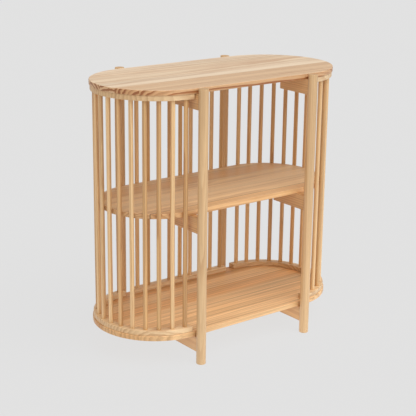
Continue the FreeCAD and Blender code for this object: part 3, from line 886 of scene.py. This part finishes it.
def make_boards():
    """The three boards, each with its own staves from front to back."""
    bottom_wood = board_material(
        "bottom board wood", board_middle("bottom_board"),
        staves=(
            (CREAM, -96, -12),
            (SAND, 104, -8),
            (CREAM, -88, 10),
            (TAN, 120, 14),
            (CREAM, -110, -16),
            (TAN, 98, 6),
        ),
        joints=(0.15, 0.05, 0.10, 0.20, 0.10), early=(0.860, 0.555, 0.275, 1),
        spacing=12 * MM, rings=0.42, streaks=1.15, edge=((0.95, 0.93, 0.90), 0.45),
    )
    shelf_wood = board_material(
        "middle shelf wood", board_middle("middle_shelf"),
        staves=(
            (AMBER, 60, -34),
            (SAND, -22, -66),
            (CREAM, 90, -20),
            (SAND, 12, -48),
            (TAN, -64, -30),
            (SAND, 20, -70),
        ),
        joints=(0.75, 0.05, 0.08, 0.05, 0.05), early=(0.830, 0.580, 0.325, 1),
        spacing=8 * MM, rings=0.45, streaks=0.50, edge=((1.0, 0.95, 0.90), 0.60),
    )
    # Painted sheen and shade: the top board's wood is paler and greyer than the other boards'. That
    # paints the sheen and the stronger light on its top face. Its edge tint takes its sides back to
    # a deeper orange, which paints the shade they get further from the floor.
    top_wood_painted_sheen = board_material(
        "top board wood", board_middle("top_board"),
        staves=(
            (TAN, -38, -42),
            (TAN, -46, -38),
            (CREAM, -14, -70),
            (SAND, 22, -64),
            (SAND, -15, -52),
            (CREAM, 34, -50),
        ),
        joints=(0.05, 0.15, 0.08, 0.05, 0.05), early=(0.840, 0.665, 0.470, 1),
        spacing=11 * MM, rings=0.60, streaks=0.45, edge=((0.96, 0.82, 0.68), 1.3),
    )
    make_board("bottom_board", BOARD_RADIUS, "through", bottom_wood)
    make_board("middle_shelf", SHELF_RADIUS, None, shelf_wood)
    make_board("top_board", BOARD_RADIUS, "pilot", top_wood_painted_sheen)


def make_cage_rails():
    """The half rings and back strips that hold the spindles, below and above."""
    early = (0.835, 0.600, 0.345, 1)
    wood = cut_material("ring wood", "X", spacing=11 * MM, rings=0.45, streaks=0.35, early=early)
    rng = np.random.default_rng(RAIL_SEED)
    for level in ("lower", "upper"):
        for end, side in (("left", -1), ("right", 1)):
            outline = half_ring_outline(side, RAIL_CORNER)
            sockets = end_spindle_points(side)
            screws = ring_screw_points((side,))
            make_cage_rail(f"{level}_ring_{end}", outline, sockets, screws, rng, wood)
        strip = f"{level}_back_strip"
        outline = bar_outline(*span(strip), RAIL_CORNER)
        make_cage_rail(strip, outline, back_spindle_points(), strip_screw_points(), rng, wood)


def make_spindles():
    """The spindles round both ends, one piece each, and those along the back, in one piece."""
    early = (0.805, 0.545, 0.275, 1)
    wood = cut_material("spindle wood", "Z", spacing=6 * MM, rings=0.60, streaks=0.45, early=early)
    rng = np.random.default_rng(SPINDLE_SEED)
    for end, side in (("left", -1), ("right", 1)):
        centres = end_spindle_points(side)
        for number in range(SPINDLES_PER_END):
            node = f"spindle_{end}_{number + 1:02d}"
            make_rods(node, centres[number:number + 1], rng, wood)
    make_rods("back_spindles", back_spindle_points(), rng, wood)


# ---------------------------------------------------------------- carried-over nodes

QUARTER = math.radians(90)
LEAN = math.radians(1.2)  # the grain of a leg isn't quite true to its axis
LEGS = {  # each leg's heart line from its axis, in mm, and its tone
    "leg_front_left": (-30, 26, -0.12),
    "leg_front_right": (22, 38, -0.07),
    "leg_back_left": (30, -12, -0.04),
    "leg_back_right": (-16, -44, -0.03),
}
LEG_WOOD = (0.775, 0.515, 0.265, 1)
LEG_LOG_LENGTH = 5
BLOCK_WOOD = (0.725, 0.425, 0.185, 1)
BLOCK_HEART = 0.05  # how far a block's heart line may lie from the origin, each way
BLOCK_TONE = 0.04
NODE_SEED = 23


def leg_wood(node, rng):
    """The wood of a leg: its grain runs up it and leans a little."""
    heart_y, heart_z, tone = LEGS[node]
    x, y, z = np.mean(span(node), axis=0)
    heart = (rng.uniform(0, LEG_LOG_LENGTH), heart_y * MM - y + z * LEAN, heart_z * MM + x)
    return carried_over_material(
        f"{node} wood", "Z", (LEAN, QUARTER, 0), heart,
        spacing=4 * MM, rings=0.40, early=LEG_WOOD, tone=tone,
    )


def block_wood(node, rng):
    """The wood of a block: its grain runs along it, from front to back."""
    heart = rng.uniform(-BLOCK_HEART, BLOCK_HEART, 3)
    tone = rng.uniform(-BLOCK_TONE, BLOCK_TONE)
    return carried_over_material(
        f"{node} wood", "Y", (0, 0, QUARTER), heart,
        spacing=6 * MM, rings=0.6, early=BLOCK_WOOD, tone=tone,
    )


def dress_carried_nodes():
    """Give the legs, blocks, dowels and screws their materials."""
    rng = np.random.default_rng(NODE_SEED)
    dowel_wood = carried_over_material(
        "dowel wood", "Y", (0, 0, QUARTER), (0, 0, 0),
        spacing=3 * MM, rings=0.4, early=LEG_WOOD,
    )
    zinc = zinc_material()
    for node, carried in sorted(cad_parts.items()):
        if node.startswith("leg_"):
            dress(carried, leg_wood(node, rng))
        elif "_block_" in node:
            dress(carried, block_wood(node, rng))
        elif node.endswith("_dowels"):
            dress(carried, dowel_wood)
        elif node.endswith("_screws"):
            dress(carried, zinc)


# ---------------------------------------------------------------- floor, light and camera

FLOOR_REACH = 60.0
FLOOR_COLOUR = (0.05, 0.05, 0.05, 1)
FLOOR_ROUGHNESS = 0.9
FLOOR_GLOW = 0.704  # the floor's own light, which makes it look even
FLOOR_BOUNCE = 0.24  # more light from it near the shelf, which the camera doesn't see
BOUNCE_FADES = (0.3, 1.6)  # distances from the middle over which that light fades
BACKDROP = 0.753  # the background's grey, for the camera only
SKY = (1.0, 0.935, 0.865)  # colour of the light from all round
SKY_STRENGTH = 0.52
KEY_LIGHT = (0.965, 1.0, 1.05)
SUN_DISTANCE = 5
CAMERA_AZIMUTH = math.radians(-37.728)
CAMERA_ELEVATION = math.radians(16.683)
CAMERA_ROLL = math.radians(0.68)
CAMERA_DISTANCE = 3.4062
CAMERA_LENS = 97.81
SENSOR_WIDTH = 36
CLIP_END = 200
AIM_LEFT = 20.7 * MM  # where the camera aims, from the middle of the shelf
AIM_DOWN = 14.6 * MM


def make_floor():
    """A wide pale floor that looks even and sends soft light up under the shelf."""
    reach = FLOOR_REACH
    corners = [(-reach, -reach, 0), (reach, -reach, 0), (reach, reach, 0), (-reach, reach, 0)]
    mesh = bpy.data.meshes.new("floor")
    mesh.from_pydata(corners, [], [(0, 1, 2, 3)])
    floor = bpy.data.objects.new("floor", mesh)
    bpy.context.scene.collection.objects.link(floor)
    material = bpy.data.materials.new("floor")
    material.use_nodes = True
    g = Graph(material.node_tree)
    shader = material.node_tree.nodes["Principled BSDF"]
    shader.inputs["Base Color"].default_value = FLOOR_COLOUR
    shader.inputs["Roughness"].default_value = FLOOR_ROUGHNESS
    shader.inputs["Specular IOR Level"].default_value = 0.0
    shader.inputs["Emission Color"].default_value = WHITE
    position = g.node("ShaderNodeTexCoord").outputs["Object"]
    near = g.ramp(g.vector("LENGTH", position), *BOUNCE_FADES, FLOOR_BOUNCE, 0.0)
    unseen = g.math("SUBTRACT", 1.0, g.node("ShaderNodeLightPath").outputs["Is Camera Ray"])
    g.feed(shader.inputs["Emission Strength"], g.math("MULTIPLY_ADD", near, unseen, FLOOR_GLOW))
    mesh.materials.append(material)


def make_sun(name, azimuth, elevation, width, strength):
    """A wide soft light from far away, at the given angles in degrees."""
    light = bpy.data.lights.new(name, "SUN")
    light.angle = math.radians(width)
    light.energy = strength
    light.color = KEY_LIGHT
    lamp = bpy.data.objects.new(name, light)
    around = math.radians(azimuth)
    up = math.radians(elevation)
    lamp.location = (
        SUN_DISTANCE * math.sin(around) * math.cos(up),
        -SUN_DISTANCE * math.cos(around) * math.cos(up),
        SUN_DISTANCE * math.sin(up),
    )
    lamp.rotation_euler = (-lamp.location).to_track_quat("-Z", "Y").to_euler()
    bpy.context.scene.collection.objects.link(lamp)


def make_world():
    """An even pale surround: warm and weaker as a light, grey as the background."""
    world = bpy.data.worlds.new("studio")
    bpy.context.scene.world = world
    world.use_nodes = True
    g = Graph(world.node_tree)
    back = world.node_tree.nodes["Background"]
    path = g.node("ShaderNodeLightPath").outputs["Is Camera Ray"]
    g.feed(back.inputs["Color"], g.mix(path, (*SKY, 1), WHITE))
    strength = g.math("MULTIPLY_ADD", path, BACKDROP - SKY_STRENGTH, SKY_STRENGTH)
    g.feed(back.inputs["Strength"], strength)


def make_camera():
    """The camera: how far round, how high and how far off it stands, and what it looks at."""
    low, high = CAD_BOX
    middle = (low + high) / 2
    target = Vector((middle.x - AIM_LEFT, middle.y, middle.z - AIM_DOWN))
    back = Vector((
        math.sin(CAMERA_AZIMUTH) * math.cos(CAMERA_ELEVATION),
        -math.cos(CAMERA_AZIMUTH) * math.cos(CAMERA_ELEVATION),
        math.sin(CAMERA_ELEVATION),
    ))
    right = Vector((math.cos(CAMERA_AZIMUTH), math.sin(CAMERA_AZIMUTH), 0))
    up = back.cross(right)
    turned_right = math.cos(CAMERA_ROLL) * right + math.sin(CAMERA_ROLL) * up
    turned_up = math.cos(CAMERA_ROLL) * up - math.sin(CAMERA_ROLL) * right
    camera = bpy.data.cameras.new("camera")
    camera.sensor_width = SENSOR_WIDTH
    camera.lens = CAMERA_LENS
    camera.clip_end = CLIP_END
    holder = bpy.data.objects.new("camera", camera)
    place = Matrix((turned_right, turned_up, back)).transposed().to_4x4()
    place.translation = target + back * CAMERA_DISTANCE
    holder.matrix_world = place
    bpy.context.scene.collection.objects.link(holder)
    bpy.context.scene.camera = holder


make_boards()
make_cage_rails()
make_spindles()
dress_carried_nodes()
make_floor()
make_world()
make_sun("right key", azimuth=20, elevation=53, width=55, strength=1.75)
make_sun("left key", azimuth=-54, elevation=42, width=65, strength=0.60)
make_camera()
bpy.context.scene.view_settings.view_transform = "Standard"
